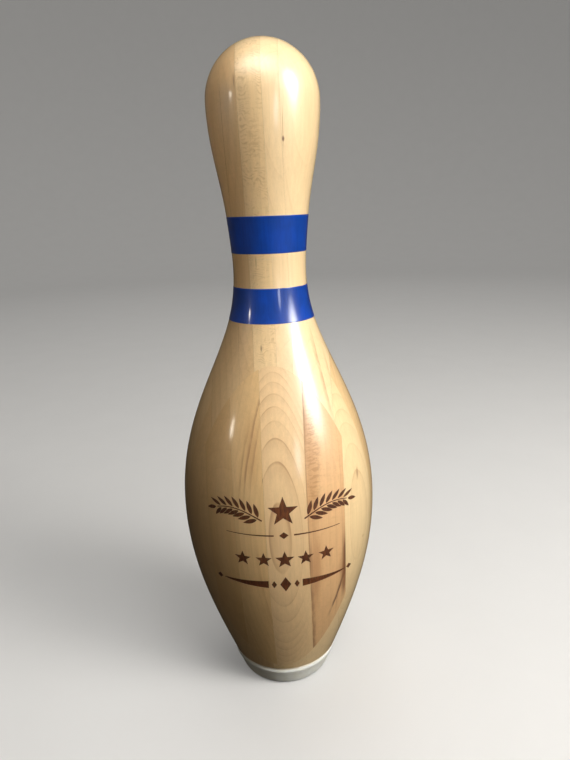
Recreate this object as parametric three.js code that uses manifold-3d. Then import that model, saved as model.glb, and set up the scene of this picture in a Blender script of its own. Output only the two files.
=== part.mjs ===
// Wooden tenpin, 15 in tall: a glued hard-maple billet turned to the pin
// profile, with a nylon base ring and two painted neck stripes.
//
// Frame: millimetres, +Z up along the turning axis, origin at the centre of the
// base on the floor plane, -Y towards the decorated front of the belly.
//
// The billet is built up first and turned afterwards. A square core of five
// boards runs the full height. A front and a back block, each of four strips,
// are glued to its faces, and a left and a right block, each of four strips,
// close the sides. The front and back blocks are wider than the core, so the
// inner faces of the side blocks step in to meet it. Turning then cuts the
// blocks to lens shapes on the belly, because they only reach where the pin is
// wider than the core. The billet sits slightly askew on the turning axis.

import * as THREE from 'three';
import { mergeVertices } from 'three/addons/utils/BufferGeometryUtils.js';
import Module from 'manifold-3d';

// ---- driving dimensions ---------------------------------------------------

const HEIGHT = 381;                 // 15 in overall

// Turned profile of the wood: height above the floor, radius.
const PROFILE = [
  [19.49, 35.68], [58.46, 48.89], [87.69, 56.04], [116.91, 59.14],
  [152.64, 56.34], [188.36, 45.19], [224.09, 29.32], [243.57, 22.88],
  [259.81, 20.84], [282.54, 21.66], [305.28, 24.45], [328.01, 28.49],
  [350.74, 30.35],
];
const [FOOT_Z, FOOT_R] = PROFILE[0];
const [CROWN_Z, CROWN_R] = PROFILE.at(-1); // the elliptical crown starts here
const FOOT_SLOPE = 0.37;            // radius per height at the foot
const CROWN_SLOPE = 0;              // and where the crown starts
const SEGMENTS = 48;                // facets around every turned surface
const CROWN_STEPS = 7;              // facet rows over the crown

// Foot: a short spigot inside the base ring, with the blind centre hole.
const SPIGOT_R = 19.2;
const SPIGOT_LIFT = 1.0;            // end grain held clear of the floor
const HOLE_R = 10.12;
const HOLE_DEPTH = 19;              // straight part of the hole
const HOLE_POINT = 5.5;             // depth of the drill point

// Base ring.
const RING_HEIGHT = 16.5;           // height of the wood shoulder above it
const RING_GAP = 0.1;               // between ring and shoulder
const RING_BORE_R = 19.35;
const RING_BORE_CHAMFER = 0.8;      // at the floor end of the bore
const RING_PROUD = 0.6;             // how far it stands out from the wood
const RING_CORNER = 3.97;           // 5/32 in corner on the floor edge
const RING_CORNER_STEPS = 5;
const RING_EDGE = 0.65;             // rounding of the top outer edge
const RING_EDGE_STEPS = 3;

// Painted neck stripes: lower and upper edge.
const UPPER_STRIPE = [273.9, 293.4];
const LOWER_STRIPE = [236.7, 255.5];
const STRIPE_GAP = 0.05;            // between wood and film
const STRIPE_FILM = 0.2;            // film thickness

// Facet rows up the turned wall: start of each run, target row height. A run
// starts at every stripe edge, and the last run ends at the crown.
const WALL_RUNS = [
  [RING_HEIGHT, 13],
  [220, 9],
  [LOWER_STRIPE[0], 6.3],
  [LOWER_STRIPE[1], 9],
  [UPPER_STRIPE[0], 6.5],
  [UPPER_STRIPE[1], 10],
];

// Billet position on the turning axis, about the point at belly height.
const BILLET_PIVOT_Z = 130;
const BILLET_TILT = -0.956;         // degrees about X
const BILLET_LEAN = -0.875;         // degrees about Y
const BILLET_TWIST = -2.533;        // degrees about Z

// Sawn size before turning.
const BILLET_LENGTH = 440;
const BILLET_BELOW_PIVOT = 160;     // part of the length below the pivot
const BILLET_HALF = 75;             // half width and half depth

// Seams in the billet's own frame: u to the right, v to the back.
const HALF_GLUE = 0.1 / 2;          // half the glue line between two pieces
const BLOCK_LEFT = -38.0;           // side edges of the front and back blocks
const BLOCK_RIGHT = 38.27;
const CORE_U = [-33.7, -16.5, -8.08, 4.4, 12.9, 34.1];
const CORE_V = 34.45;               // half depth of the core
const FRONT_U = [BLOCK_LEFT, -22.3, -5.53, 17.25, BLOCK_RIGHT];
const BACK_U = [BLOCK_LEFT, -17.6, 4.0, 20.9, BLOCK_RIGHT];
const LEFT_V = [-26.0, -7.5, 17.0]; // from front to back
const RIGHT_V = [-20.0, 6.0, 25.5];

// ---- materials ------------------------------------------------------------

const LACQUER_ROUGHNESS = 0.25;     // finished wood and painted stripes
const NYLON_ROUGHNESS = 0.35;
const NYLON_GREY = 0xd5d6cf;
const STRIPE_BLUE = 0x1638a8;

// Each strip's own shade of maple, in strip order.
const CORE_SHADES = [0xcdb28a, 0xd3ba92, 0xc9ae84, 0xdcc49d, 0xe2cca6];
const FRONT_SHADES = [0xc9ad80, 0xcbb086, 0xd8bf94, 0xc79f74];
const BACK_SHADES = [0xd9c29a, 0xcdb188, 0xdec7a0, 0xd0b48a];
const LEFT_SHADES = [0xc8ad82, 0xd5bd94, 0xccb188, 0xdac39b];
const RIGHT_SHADES = [0xe3cea8, 0xdac29a, 0xe0c9a2, 0xd2b88f];

const pin = new THREE.Group();

function addPiece(name, geometry, color, roughness) {
  const material = new THREE.MeshStandardMaterial({ color, roughness, metalness: 0 });
  const mesh = new THREE.Mesh(geometry, material);
  mesh.name = name;
  pin.add(mesh);
}

// ---- turned profile -------------------------------------------------------

// Cubic spline through [height, radius] points with set end slopes. Below the
// first point the profile runs on straight.
function makeProfile(points, startSlope, endSlope) {
  const heights = points.map(([z]) => z);
  const radii = points.map(([, radius]) => radius);
  const spans = heights.slice(1).map((z, i) => z - heights[i]);
  const chordSlopes = spans.map((span, i) => (radii[i + 1] - radii[i]) / span);
  const slopes = [startSlope, ...chordSlopes, endSlope];

  // Tridiagonal system for the second derivative at each point.
  const diagonal = points.map((_, i) => 2 * ((spans[i - 1] ?? 0) + (spans[i] ?? 0)));
  const rhs = points.map((_, i) => 6 * (slopes[i + 1] - slopes[i]));
  const last = points.length - 1;
  for (let i = 1; i <= last; i++) {
    const factor = spans[i - 1] / diagonal[i - 1];
    diagonal[i] -= factor * spans[i - 1];
    rhs[i] -= factor * rhs[i - 1];
  }
  const bends = [];
  bends[last] = rhs[last] / diagonal[last];
  for (let i = last - 1; i >= 0; i--) {
    bends[i] = (rhs[i] - spans[i] * bends[i + 1]) / diagonal[i];
  }

  return (z) => {
    if (z <= heights[0]) return radii[0] + startSlope * (z - heights[0]);
    let i = 0;
    while (z > heights[i + 1]) i++;
    const span = spans[i];
    const above = heights[i + 1] - z;
    const below = z - heights[i];
    return (bends[i] * above ** 3 + bends[i + 1] * below ** 3) / (6 * span)
      + (radii[i] / span - bends[i] * span / 6) * above
      + (radii[i + 1] / span - bends[i + 1] * span / 6) * below;
  };
}
const woodRadius = makeProfile(PROFILE, FOOT_SLOPE, CROWN_SLOPE);

// Heights of the facet rows up to, but not including, the crown.
const wallRows = WALL_RUNS.flatMap(([low, step], run) => {
  const high = WALL_RUNS[run + 1]?.[0] ?? CROWN_Z;
  const count = Math.round((high - low) / step);
  return Array.from({ length: count }, (_, i) => low + ((high - low) * i) / count);
});

// Quarter ellipse, as [radius, height] pairs, without its top point.
const crownOutline = Array.from({ length: CROWN_STEPS }, (_, i) => {
  const angle = (i / CROWN_STEPS) * Math.PI / 2;
  return [CROWN_R * Math.cos(angle), CROWN_Z + (HEIGHT - CROWN_Z) * Math.sin(angle)];
});

// Turns [radius, height] pairs about +Z.
function turned(outline) {
  const points = outline.map(([radius, z]) => new THREE.Vector2(radius, z));
  return new THREE.LatheGeometry(points, SEGMENTS)
    .rotateX(Math.PI / 2);          // lathe axis Y to Z
}

// ---- solids ---------------------------------------------------------------

const WELD_DISTANCE = 1e-4;

const wasm = await Module();
wasm.setup();

// Welds the geometry into a closed mesh, leaving out collapsed triangles.
function toSolid(geometry) {
  geometry.deleteAttribute('normal');
  geometry.deleteAttribute('uv');
  const welded = mergeVertices(geometry, WELD_DISTANCE);
  const index = welded.index.array;
  const triangles = [];
  for (let i = 0; i < index.length; i += 3) {
    const [a, b, c] = index.slice(i, i + 3);
    if (a !== b && b !== c && c !== a) triangles.push(a, b, c);
  }
  return new wasm.Manifold(new wasm.Mesh({
    numProp: 3,
    vertProperties: welded.getAttribute('position').array,
    triVerts: new Uint32Array(triangles),
  }));
}

function toGeometry(solid) {
  const { vertProperties, triVerts } = solid.getMesh();
  const geometry = new THREE.BufferGeometry();
  geometry.setAttribute('position', new THREE.Float32BufferAttribute(vertProperties, 3));
  geometry.setIndex(new THREE.Uint32BufferAttribute(triVerts, 1));
  geometry.computeVertexNormals();
  return geometry;
}

// ---- the turned billet ----------------------------------------------------

// From the drill point, out over the spigot and up the wall to the top.
const turnedWood = toSolid(turned([
  [0, SPIGOT_LIFT + HOLE_DEPTH + HOLE_POINT],
  [HOLE_R, SPIGOT_LIFT + HOLE_DEPTH],
  [HOLE_R, SPIGOT_LIFT],
  [SPIGOT_R, SPIGOT_LIFT],
  [SPIGOT_R, RING_HEIGHT],
  ...wallRows.map((z) => [woodRadius(z), z]),
  ...crownOutline,
  [0, HEIGHT],
]));

const billetToPin = new THREE.Matrix4().makeRotationFromEuler(new THREE.Euler(
  THREE.MathUtils.degToRad(BILLET_TILT),
  THREE.MathUtils.degToRad(BILLET_LEAN),
  THREE.MathUtils.degToRad(BILLET_TWIST),
  'XYZ',
));
billetToPin.setPosition(0, 0, BILLET_PIVOT_Z);

// One sawn strip, as an outline in u and v, run the length of the billet and
// turned to the profile.
function turnedStrip(outline) {
  const shape = new THREE.Shape(outline.map(([u, v]) => new THREE.Vector2(u, v)));
  const sawn = new THREE.ExtrudeGeometry(shape, { depth: BILLET_LENGTH, bevelEnabled: false });
  sawn.translate(0, 0, -BILLET_BELOW_PIVOT);
  sawn.applyMatrix4(billetToPin);
  return toGeometry(turnedWood.intersect(toSolid(sawn)));
}

function box(u0, u1, v0, v1) {
  return [[u0, v0], [u1, v0], [u1, v1], [u0, v1]];
}

// Strips side by side between seams in u, all from v0 to v1.
function rowStrips(seams, v0, v1) {
  return seams.slice(1).map((seam, i) => (
    box(seams[i] + HALF_GLUE, seam - HALF_GLUE, v0, v1)));
}

// Strips of a side block, front to back. side is -1 for the left and 1 for the
// right. The end strips are notched around the front and back blocks.
function sideStrips(side, coreEdge, blockEdge, seams) {
  const face = coreEdge + side * HALF_GLUE;
  const lap = blockEdge + side * HALF_GLUE;
  const far = side * BILLET_HALF;
  const step = CORE_V - HALF_GLUE;
  const frontEnd = seams[0] - HALF_GLUE;
  const backEnd = seams[2] + HALF_GLUE;
  return [
    [[face, frontEnd], [face, -step], [lap, -step], [lap, -BILLET_HALF],
      [far, -BILLET_HALF], [far, frontEnd]],
    box(face, far, seams[0] + HALF_GLUE, seams[1] - HALF_GLUE),
    box(face, far, seams[1] + HALF_GLUE, seams[2] - HALF_GLUE),
    [[face, backEnd], [far, backEnd], [far, BILLET_HALF], [lap, BILLET_HALF],
      [lap, step], [face, step]],
  ];
}

function addStrips(block, outlines, shades) {
  outlines.forEach((outline, i) => {
    addPiece(`${block}_strip_${i + 1}`, turnedStrip(outline), shades[i], LACQUER_ROUGHNESS);
  });
}

addStrips('core', rowStrips(CORE_U, -CORE_V + HALF_GLUE, CORE_V - HALF_GLUE), CORE_SHADES);
addStrips('front_block', rowStrips(FRONT_U, -BILLET_HALF, -CORE_V - HALF_GLUE), FRONT_SHADES);
addStrips('back_block', rowStrips(BACK_U, CORE_V + HALF_GLUE, BILLET_HALF), BACK_SHADES);
addStrips('left_block', sideStrips(-1, CORE_U[0], BLOCK_LEFT, LEFT_V), LEFT_SHADES);
addStrips('right_block', sideStrips(1, CORE_U.at(-1), BLOCK_RIGHT, RIGHT_V), RIGHT_SHADES);

// ---- base ring ------------------------------------------------------------

// Closed outline: floor face, rounded floor edge, tapered wall, rounded top
// edge, top face under the wood shoulder, bore around the spigot.
function ringOutline() {
  const top = RING_HEIGHT - RING_GAP;
  const wallNormal = Math.atan2(-FOOT_SLOPE, 1);
  const floorNormal = -Math.PI / 2;
  const topNormal = Math.PI / 2;

  // Arc tangent to the wall, between two outward normals.
  function edgeArc(radius, centreZ, from, to, steps) {
    const wallR = FOOT_R + RING_PROUD + FOOT_SLOPE * (centreZ - FOOT_Z);
    const centreR = wallR - radius * Math.hypot(1, FOOT_SLOPE);
    return Array.from({ length: steps + 1 }, (_, i) => {
      const angle = from + (to - from) * (i / steps);
      return [centreR + radius * Math.cos(angle), centreZ + radius * Math.sin(angle)];
    });
  }

  const boreFloorEdge = [RING_BORE_R + RING_BORE_CHAMFER, 0];
  return [
    boreFloorEdge,
    ...edgeArc(RING_CORNER, RING_CORNER, floorNormal, wallNormal, RING_CORNER_STEPS),
    ...edgeArc(RING_EDGE, top - RING_EDGE, wallNormal, topNormal, RING_EDGE_STEPS),
    [RING_BORE_R, top],
    [RING_BORE_R, RING_BORE_CHAMFER],
    boreFloorEdge,
  ];
}
addPiece('base_ring', turned(ringOutline()), NYLON_GREY, NYLON_ROUGHNESS);

// ---- neck stripes ---------------------------------------------------------

// Closed outline of a film that follows the facet rows of the wood: up the
// outside and down the inside.
function stripeOutline([low, high]) {
  const rows = wallRows.filter((z) => z >= low && z <= high);
  const inner = rows.map((z) => [woodRadius(z) + STRIPE_GAP, z]);
  const outer = inner.map(([radius, z]) => [radius + STRIPE_FILM, z]);
  return [...outer, ...inner.reverse(), outer[0]];
}

function addStripe(name, edges) {
  addPiece(name, turned(stripeOutline(edges)), STRIPE_BLUE, LACQUER_ROUGHNESS);
}
addStripe('neck_stripe_upper', UPPER_STRIPE);
addStripe('neck_stripe_lower', LOWER_STRIPE);

export default pin;
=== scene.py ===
# Visual model of a laminated maple tenpin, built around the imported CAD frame.
# Lengths in this script are millimetres until a mesh is finished, then metres.
import math

import bpy
import numpy as np
from mathutils import Euler, Matrix, Vector


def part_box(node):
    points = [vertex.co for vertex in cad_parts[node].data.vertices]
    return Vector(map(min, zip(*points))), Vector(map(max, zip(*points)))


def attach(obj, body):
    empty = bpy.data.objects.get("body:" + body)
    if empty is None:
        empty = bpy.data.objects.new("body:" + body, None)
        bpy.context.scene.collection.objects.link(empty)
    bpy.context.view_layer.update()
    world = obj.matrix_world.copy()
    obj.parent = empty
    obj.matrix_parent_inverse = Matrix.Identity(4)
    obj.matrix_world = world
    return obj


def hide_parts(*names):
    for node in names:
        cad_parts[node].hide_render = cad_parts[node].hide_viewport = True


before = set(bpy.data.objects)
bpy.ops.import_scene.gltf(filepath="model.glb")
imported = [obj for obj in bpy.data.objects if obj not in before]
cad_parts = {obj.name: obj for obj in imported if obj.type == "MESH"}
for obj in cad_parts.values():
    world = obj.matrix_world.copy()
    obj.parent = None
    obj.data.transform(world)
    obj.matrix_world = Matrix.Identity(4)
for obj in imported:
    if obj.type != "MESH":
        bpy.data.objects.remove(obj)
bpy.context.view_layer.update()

MM = 0.001

# ---------------------------------------------------------------- dimensions
HEIGHT = 381.0
PROFILE = [
    (19.49, 35.68), (58.46, 48.89), (87.69, 56.04), (116.91, 59.14),
    (152.64, 56.34), (188.36, 45.19), (224.09, 29.32), (243.57, 22.88),
    (259.81, 20.84), (282.54, 21.66), (305.28, 24.45), (328.01, 28.49),
    (350.74, 30.35),
]
BASE_SLOPE = 0.37
GLUE = 0.05
PIVOT_Z = 130.0
BILLET = Euler((math.radians(-0.956), math.radians(-0.875), math.radians(-2.533)), "XYZ")
CORE_U = [-33.7, -16.5, -8.08, 4.4, 12.9, 34.1]
CORE_V = 34.45
FRONT_U = [-38.0, -22.3, -5.53, 17.25, 38.27]
BACK_U = [-38.0, -17.6, 4.0, 20.9, 38.27]
LEFT_V = [-26.0, -7.5, 17.0]
RIGHT_V = [-20.0, 6.0, 25.5]
RING_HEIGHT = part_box("base_ring")[1].z / MM + 0.1
SPIGOT_R = 19.2
SPIGOT_LIFT = 1.0
HOLE_R = 10.12
HOLE_DEPTH = 19.0
HOLE_POINT = 5.5
ENGRAVE = 0.3
SEG = 384


# ---------------------------------------------------------------- profile
def clamped_spline(points, slope0, slope1):
    z = np.array([p[0] for p in points])
    r = np.array([p[1] for p in points])
    n = len(z)
    h = np.diff(z)
    a = np.zeros((n, n))
    b = np.zeros(n)
    a[0, 0], a[0, 1] = 2 * h[0], h[0]
    b[0] = 6 * ((r[1] - r[0]) / h[0] - slope0)
    for i in range(1, n - 1):
        a[i, i - 1], a[i, i], a[i, i + 1] = h[i - 1], 2 * (h[i - 1] + h[i]), h[i]
        b[i] = 6 * ((r[i + 1] - r[i]) / h[i] - (r[i] - r[i - 1]) / h[i - 1])
    a[-1, -2], a[-1, -1] = h[-1], 2 * h[-1]
    b[-1] = 6 * (slope1 - (r[-1] - r[-2]) / h[-1])
    m = np.linalg.solve(a, b)
    crown = HEIGHT - z[-1]

    def radius(q):
        q = np.asarray(q, float)
        i = np.clip(np.searchsorted(z, q) - 1, 0, n - 2)
        s, t = z[i + 1] - q, q - z[i]
        v = ((m[i] * s ** 3 + m[i + 1] * t ** 3) / (6 * h[i])
             + (r[i] / h[i] - m[i] * h[i] / 6) * s + (r[i + 1] / h[i] - m[i + 1] * h[i] / 6) * t)
        c = np.clip((q - z[-1]) / crown, 0, 1)
        v = np.where(q > z[-1], r[-1] * np.sqrt(1 - c * c), v)
        return np.where(q < z[0], r[0] + slope0 * (q - z[0]), v)

    return radius


wood_radius = clamped_spline(PROFILE, BASE_SLOPE, 0.0)
CROWN_Z = PROFILE[-1][0]


def wood_normal(p):
    """Outward unit normals of the turned surface nearest to points p (N, 3)."""
    z = p[:, 2]
    rho = np.hypot(p[:, 0], p[:, 1])
    flare = (wood_radius(z + 0.2) - wood_radius(z - 0.2)) / 0.4
    n = np.stack([p[:, 0] / np.maximum(rho, 1e-9), p[:, 1] / np.maximum(rho, 1e-9), -flare], 1)
    crown = z > CROWN_Z
    a, b = PROFILE[-1][1], HEIGHT - CROWN_Z
    nc = np.stack([p[:, 0] / a ** 2, p[:, 1] / a ** 2, (z - CROWN_Z) / b ** 2], 1)
    n[crown] = nc[crown]
    return n / np.linalg.norm(n, axis=1, keepdims=True)


# ---------------------------------------------------------------- mesh tools
def new_object(name, verts, faces):
    me = bpy.data.meshes.new(name)
    me.from_pydata([tuple(v) for v in verts], [], [tuple(f) for f in faces])
    me.update()
    ob = bpy.data.objects.new(name, me)
    bpy.context.scene.collection.objects.link(ob)
    return ob


def lathe(name, pairs, seg=SEG, closed=False):
    """Turns (radius, height) pairs about Z. Pairs with radius 0 close on the axis."""
    pairs = [(float(r), float(z)) for r, z in pairs]
    verts, rings = [], []
    ang = np.arange(seg) * 2 * math.pi / seg
    ca, sa = np.cos(ang), np.sin(ang)
    for r, z in pairs:
        if r < 1e-6:
            rings.append([len(verts)])
            verts.append((0.0, 0.0, z))
        else:
            rings.append(list(range(len(verts), len(verts) + seg)))
            verts += [(r * c, r * s, z) for c, s in zip(ca, sa)]
    faces = []
    spans = list(zip(rings[:-1], rings[1:]))
    if closed:
        spans.append((rings[-1], rings[0]))
    for lo, hi in spans:
        for k in range(seg):
            j = (k + 1) % seg
            if len(lo) == 1:
                faces.append((lo[0], hi[j], hi[k]))
            elif len(hi) == 1:
                faces.append((lo[k], lo[j], hi[0]))
            else:
                faces.append((lo[k], lo[j], hi[j], hi[k]))
    return new_object(name, verts, faces)


def prism(name, outline, lo, hi, to_world):
    """Closed prism over a counter-clockwise outline."""
    area = sum(a[0] * b[1] - b[0] * a[1] for a, b in zip(outline, outline[1:] + outline[:1]))
    if area < 0:
        outline = outline[::-1]
    n = len(outline)
    verts = [to_world(x, y, lo) for x, y in outline] + [to_world(x, y, hi) for x, y in outline]
    faces = [tuple(range(n))[::-1], tuple(range(n, 2 * n))]
    faces += [(i, (i + 1) % n, n + (i + 1) % n, n + i) for i in range(n)]
    return new_object(name, verts, faces)


def join(name, parts):
    verts, faces = [], []
    for ob in parts:
        k = len(verts)
        verts += [tuple(v.co) for v in ob.data.vertices]
        faces += [tuple(i + k for i in f.vertices) for f in ob.data.polygons]
        drop(ob)
    return new_object(name, verts, faces)


def drop(ob):
    me = ob.data
    bpy.data.objects.remove(ob)
    if me.users == 0:
        bpy.data.meshes.remove(me)


def boolean(ob, other, op):
    mod = ob.modifiers.new("cut", "BOOLEAN")
    mod.operation = op
    mod.solver = "MANIFOLD"
    mod.object = other
    deps = bpy.context.evaluated_depsgraph_get()
    me = bpy.data.meshes.new_from_object(ob.evaluated_get(deps))
    old = ob.data
    ob.modifiers.clear()
    ob.data = me
    bpy.data.meshes.remove(old)
    return ob


def vertex_array(me):
    co = np.zeros(len(me.vertices) * 3)
    me.vertices.foreach_get("co", co)
    return co.reshape(-1, 3)


_rot = BILLET.to_matrix()


def billet_point(u, v, w):
    p = _rot @ Vector((u, v, w))
    return (p.x, p.y, p.z + PIVOT_Z)


# ---------------------------------------------------------------- turned wood
def outline_rows(lo, hi, step):
    n = max(1, int(round((hi - lo) / step)))
    return [lo + (hi - lo) * i / n for i in range(n)]


def wood_lathe(name, inset=0.0):
    rows = outline_rows(RING_HEIGHT + 0.35, CROWN_Z, 0.9)
    n = wood_normal(np.array([[float(wood_radius(z)), 0, z] for z in rows]))
    wall = [(float(wood_radius(z)) - inset * k[0], z - inset * k[2]) for z, k in zip(rows, n)]
    crown = []
    for i in range(60):
        t = i / 60 * math.pi / 2
        crown.append(((PROFILE[-1][1] - inset) * math.cos(t),
                      CROWN_Z + (HEIGHT - CROWN_Z - inset) * math.sin(t)))
    foot_r = float(wood_radius(RING_HEIGHT))
    pairs = [(0, SPIGOT_LIFT + HOLE_DEPTH + HOLE_POINT), (HOLE_R, SPIGOT_LIFT + HOLE_DEPTH),
             (HOLE_R, SPIGOT_LIFT + 0.4), (HOLE_R + 0.4, SPIGOT_LIFT),
             (SPIGOT_R - 0.5, SPIGOT_LIFT), (SPIGOT_R, SPIGOT_LIFT + 0.5),
             (SPIGOT_R, RING_HEIGHT), (foot_r - 0.35 - inset, RING_HEIGHT)]
    return lathe(name, pairs + wall + crown + [(0, HEIGHT - inset)])


def strip_outlines():
    h, far = GLUE / 2, 75.0
    out = {}

    def box(u0, u1, v0, v1):
        return [(u0, v0), (u1, v0), (u1, v1), (u0, v1)]

    for i in range(5):
        out[f"core_strip_{i + 1}"] = box(CORE_U[i] + h, CORE_U[i + 1] - h, -CORE_V + h, CORE_V - h)
    for i in range(4):
        out[f"front_block_strip_{i + 1}"] = box(FRONT_U[i] + h, FRONT_U[i + 1] - h, -far, -CORE_V - h)
        out[f"back_block_strip_{i + 1}"] = box(BACK_U[i] + h, BACK_U[i + 1] - h, CORE_V + h, far)
    for side, tag, inner, fr, bk, seams in (
            (-1, "left", CORE_U[0], FRONT_U[0], BACK_U[0], LEFT_V),
            (1, "right", CORE_U[5], FRONT_U[4], BACK_U[4], RIGHT_V)):
        face, f, b, o, step = inner + side * h, fr + side * h, bk + side * h, side * far, CORE_V - h
        s = seams
        out[f"{tag}_block_strip_1"] = [(face, s[0] - h), (face, -step), (f, -step), (f, -far), (o, -far), (o, s[0] - h)]
        out[f"{tag}_block_strip_2"] = [(face, s[0] + h), (o, s[0] + h), (o, s[1] - h), (face, s[1] - h)]
        out[f"{tag}_block_strip_3"] = [(face, s[1] + h), (o, s[1] + h), (o, s[2] - h), (face, s[2] - h)]
        out[f"{tag}_block_strip_4"] = [(face, s[2] + h), (o, s[2] + h), (o, far), (b, far), (b, step), (face, step)]
    return out


# ---------------------------------------------------------------- ornament
# A plain award ornament, cut across the front of the belly: two leafy sprays
# beside a star, a row of small stars, and a tapered rule with lozenges.
def star(cx, cz, outer, inner, turn=0.0, points=5):
    out = []
    for i in range(points * 2):
        r = outer if i % 2 == 0 else inner
        a = math.pi / 2 + turn + i * math.pi / points
        out.append((cx + r * math.cos(a), cz + r * math.sin(a)))
    return out


def leaf(x, z, angle, length, width, n=9):
    """Pointed leaf from (x, z) along angle."""
    side = []
    for i in range(n + 1):
        t = i / n
        w = width / 2 * math.sin(math.pi * t ** 0.85) ** 0.9 if 0 < t < 1 else 0.0
        side.append((t * length, w))
    pts = side + [(a, -b) for a, b in side[-2:0:-1]]
    ca, sa = math.cos(angle), math.sin(angle)
    return [(x + a * ca - b * sa, z + a * sa + b * ca) for a, b in pts]


def ribbon(points, widths):
    """Closed outline around a polyline with a width at each point."""
    p = np.array(points, float)
    d = np.gradient(p, axis=0)
    d /= np.linalg.norm(d, axis=1, keepdims=True)
    nrm = np.stack([-d[:, 1], d[:, 0]], 1)
    w = np.array(widths)[:, None] / 2
    a, b = p + nrm * w, p - nrm * w
    return [tuple(q) for q in a] + [tuple(q) for q in b[::-1]]


def ornament():
    cx = 1.6
    shapes = []
    # sprays
    for s in (-1, 1):
        def stem(t):
            return cx + s * (11.5 + 24.5 * t), 136.2 + 6.6 * math.sin(t * 2.2) - 1.0 * t
        ts = np.linspace(0, 1, 25)
        shapes.append(ribbon([stem(t) for t in ts], [0.85 - 0.35 * t for t in ts]))
        for i in range(7):
            t = 0.07 + i * 0.135
            x, z = stem(t)
            x2, z2 = stem(t + 0.02)
            base = math.atan2(z2 - z, x2 - x)
            size = 1.0 - 0.28 * t
            for k in (-1, 1):
                if k * s > 0 and i == 0:
                    pass
                ang = base + k * math.radians(47 - 8 * t)
                off = 0.95
                lx = x + off * math.cos(ang)
                lz = z + off * math.sin(ang)
                shapes.append(leaf(lx, lz, ang, 8.2 * size, 2.5 * size))
        x, z = stem(1.0)
        x0, z0 = stem(0.98)
        a = math.atan2(z - z0, x - x0)
        shapes.append(leaf(x + 0.7 * math.cos(a), z + 0.7 * math.sin(a), a, 5.4, 2.1))
    shapes.append(star(cx, 141.2, 8.6, 3.5))
    # fine rule under the sprays
    for s in (-1, 1):
        shapes.append(ribbon([(cx + s * (5.5 + 26 * t), 127.6) for t in np.linspace(0, 1, 14)],
                             [0.9 - 0.55 * t for t in np.linspace(0, 1, 14)]))
    shapes.append([(cx - 2.6, 127.6), (cx, 125.6), (cx + 2.6, 127.6), (cx, 129.6)])
    # row of stars
    for i in range(5):
        r = 5.6 if i == 2 else 4.7
        shapes.append(star(cx + (i - 2) * 11.6, 112.3, r, r * 0.42))
    # heavy tapered rule with lozenges
    zc = 95.6
    for s in (-1, 1):
        ts = np.linspace(0, 1, 18)
        shapes.append(ribbon([(cx + s * (9.5 + 25 * t), zc + 0.0 * t) for t in ts],
                             [4.6 * (1 - t) ** 0.8 + 0.5 for t in ts]))
        shapes.append([(cx + s * 37.2 - 1.6, zc), (cx + s * 37.2, zc - 1.9), (cx + s * 37.2 + 1.6, zc), (cx + s * 37.2, zc + 1.9)])
        shapes.append([(cx + s * 6.4 - 1.5, zc), (cx + s * 6.4, zc - 2.6), (cx + s * 6.4 + 1.5, zc), (cx + s * 6.4, zc + 2.6)])
    shapes.append([(cx - 3.1, zc), (cx, zc - 5.2), (cx + 3.1, zc), (cx, zc + 5.2)])
    return shapes


# ---------------------------------------------------------------- build wood
def build_wood():
    turned = wood_lathe("tmp_turned")
    inner = wood_lathe("tmp_inner", inset=ENGRAVE)
    cutters = [prism(f"tmp_o{i}", s, -80.0, -8.0, lambda x, z, y: (x, y, z))
               for i, s in enumerate(ornament())]
    cutter = join("tmp_cutter", cutters)
    # the prism runs along Y, so its faces are turned the other way round
    cutter.data.flip_normals()
    cutter = boolean(cutter, inner, "DIFFERENCE")
    made = {}
    for name, outline in strip_outlines().items():
        ob = prism(name + "_visual", outline, -160.0, 280.0, billet_point)
        boolean(ob, turned, "INTERSECT")
        if name.startswith("front_block") or name in ("right_block_strip_1", "left_block_strip_1"):
            boolean(ob, cutter, "DIFFERENCE")
        finish_wood(ob)
        made[name] = ob
    for t in (turned, inner, cutter):
        drop(t)
    return made


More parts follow.
